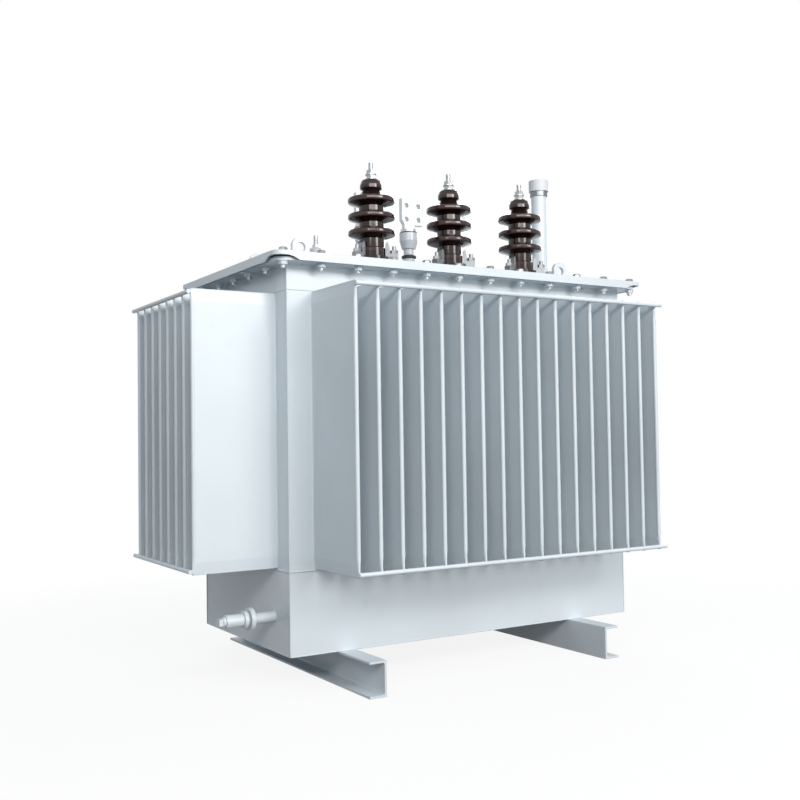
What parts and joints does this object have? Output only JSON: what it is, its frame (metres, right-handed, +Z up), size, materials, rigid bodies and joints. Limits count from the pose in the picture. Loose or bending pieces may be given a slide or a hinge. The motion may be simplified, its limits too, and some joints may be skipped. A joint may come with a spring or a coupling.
{
  "type": "power transformer",
  "caption": "Oil-filled power transformer with a corrugated fin tank, bolted cover, brown high-voltage bushings, low-voltage flag terminals, oil filler and channel skids.",
  "frame": {"origin": "on the floor under the middle of the tank", "axes": "+X along the long side, -Y towards the high-voltage side, +Z up"},
  "size_m": [1.438, 0.948, 1.325],
  "materials": {
    "paint_tank": "satin light blue-grey paint",
    "paint_cover": "satin light blue-grey paint",
    "paint_skid": "satin light blue-grey paint",
    "gasket_rubber": "matt black",
    "brown_glaze": "gloss dark brown glaze",
    "white_glaze": "gloss pale glaze",
    "tinned_brass": "tinned",
    "cast_clamp": "cast",
    "filler_cap": "satin",
    "valve_metal": "zinc plated"
  },
  "bodies": {
    "root": {"skid_left": "paint_skid", "skid_right": "paint_skid", "tank_floor": "paint_tank", "band_front": "paint_tank", "band_back": "paint_tank", "band_left": "paint_tank", "band_right": "paint_tank", "finned_wall_front": "paint_tank", "finned_wall_back": "paint_tank", "finned_wall_left": "paint_tank", "finned_wall_right": "paint_tank", "fin_bars_front": "paint_tank", "fin_bars_back": "paint_tank", "fin_bars_left": "paint_tank", "fin_bars_right": "paint_tank", "tank_flange": "paint_tank", "cover_gasket": "gasket_rubber", "cover": "paint_cover", "hv_porcelain_a": "brown_glaze", "hv_porcelain_b": "brown_glaze", "hv_porcelain_c": "brown_glaze", "hv_terminal_a": "tinned_brass", "hv_terminal_b": "tinned_brass", "hv_terminal_c": "tinned_brass", "hv_clamp_rings": "cast_clamp", "lv_porcelain_n": "white_glaze", "lv_porcelain_a": "white_glaze", "lv_porcelain_b": "white_glaze", "lv_porcelain_c": "white_glaze", "lv_terminal_n": "tinned_brass", "lv_terminal_a": "tinned_brass", "lv_terminal_b": "tinned_brass", "lv_terminal_c": "tinned_brass", "lv_clamp_rings": "cast_clamp", "lifting_lug_front_left": "paint_cover", "lifting_lug_front_right": "paint_cover", "lifting_lug_back_left": "paint_cover", "lifting_lug_back_right": "paint_cover", "oil_filler_tube": "paint_cover", "oil_filler_cap": "filler_cap", "drain_pipe": "valve_metal", "drain_flange": "valve_metal", "drain_body": "valve_metal", "drain_cap": "valve_metal"}
  },
  "joints": []
}
